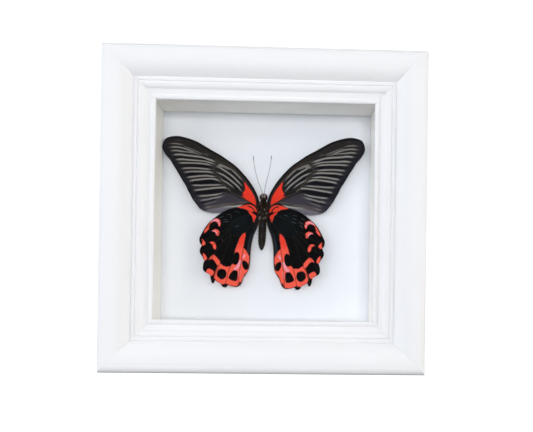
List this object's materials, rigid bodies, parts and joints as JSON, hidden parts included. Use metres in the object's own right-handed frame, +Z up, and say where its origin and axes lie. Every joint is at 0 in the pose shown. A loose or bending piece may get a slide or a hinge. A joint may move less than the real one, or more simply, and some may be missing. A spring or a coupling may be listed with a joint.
{
  "type": "framed butterfly specimen",
  "caption": "Square white shadow-box frame with a glazed, deep recess that holds a spread black and red butterfly, shown from its underside.",
  "frame": {"origin": "centre of the bottom of the bounding box, on the outer face of the bottom rail", "axes": "+X to the viewer's right, +Y from the front to the back, +Z up along the butterfly's body"},
  "size_m": [0.2, 0.0508, 0.2],
  "materials": {
    "white_paint": "satin white paint on wood, brushed or sprayed, mitres just showing",
    "glass": "clear picture glass",
    "white_board": "smooth matt white board",
    "card": "matt white mount card",
    "hardboard": "brown pressed hardboard, smooth side out",
    "steel": "thin bright steel",
    "zinc_plate": "zinc plated steel",
    "forewing_scales": "dry scaled wing, charcoal with pale rays and a red base",
    "hindwing_scales": "dry scaled wing, velvet black with red crescents and patches",
    "body_scales": "dry dark hair and scales",
    "antenna_chitin": "dark dry chitin",
    "foam": "white foam"
  },
  "bodies": {
    "root": {"rail_top": "white_paint", "rail_bottom": "white_paint", "rail_left": "white_paint", "rail_right": "white_paint", "glass": "glass", "spacer_top": "white_board", "spacer_bottom": "white_board", "spacer_left": "white_board", "spacer_right": "white_board", "backing_card": "card", "back_board": "hardboard", "point_top_left": "steel", "point_top_right": "steel", "point_right_upper": "steel", "point_right_lower": "steel", "point_bottom_right": "steel", "point_bottom_left": "steel", "point_left_lower": "steel", "point_left_upper": "steel", "hanger": "zinc_plate", "hanger_nail_left": "zinc_plate", "hanger_nail_right": "zinc_plate", "forewing_left": "forewing_scales", "forewing_right": "forewing_scales", "hindwing_left": "hindwing_scales", "hindwing_right": "hindwing_scales", "body": "body_scales", "antenna_left": "antenna_chitin", "antenna_right": "antenna_chitin", "specimen_pad": "foam"}
  },
  "joints": []
}
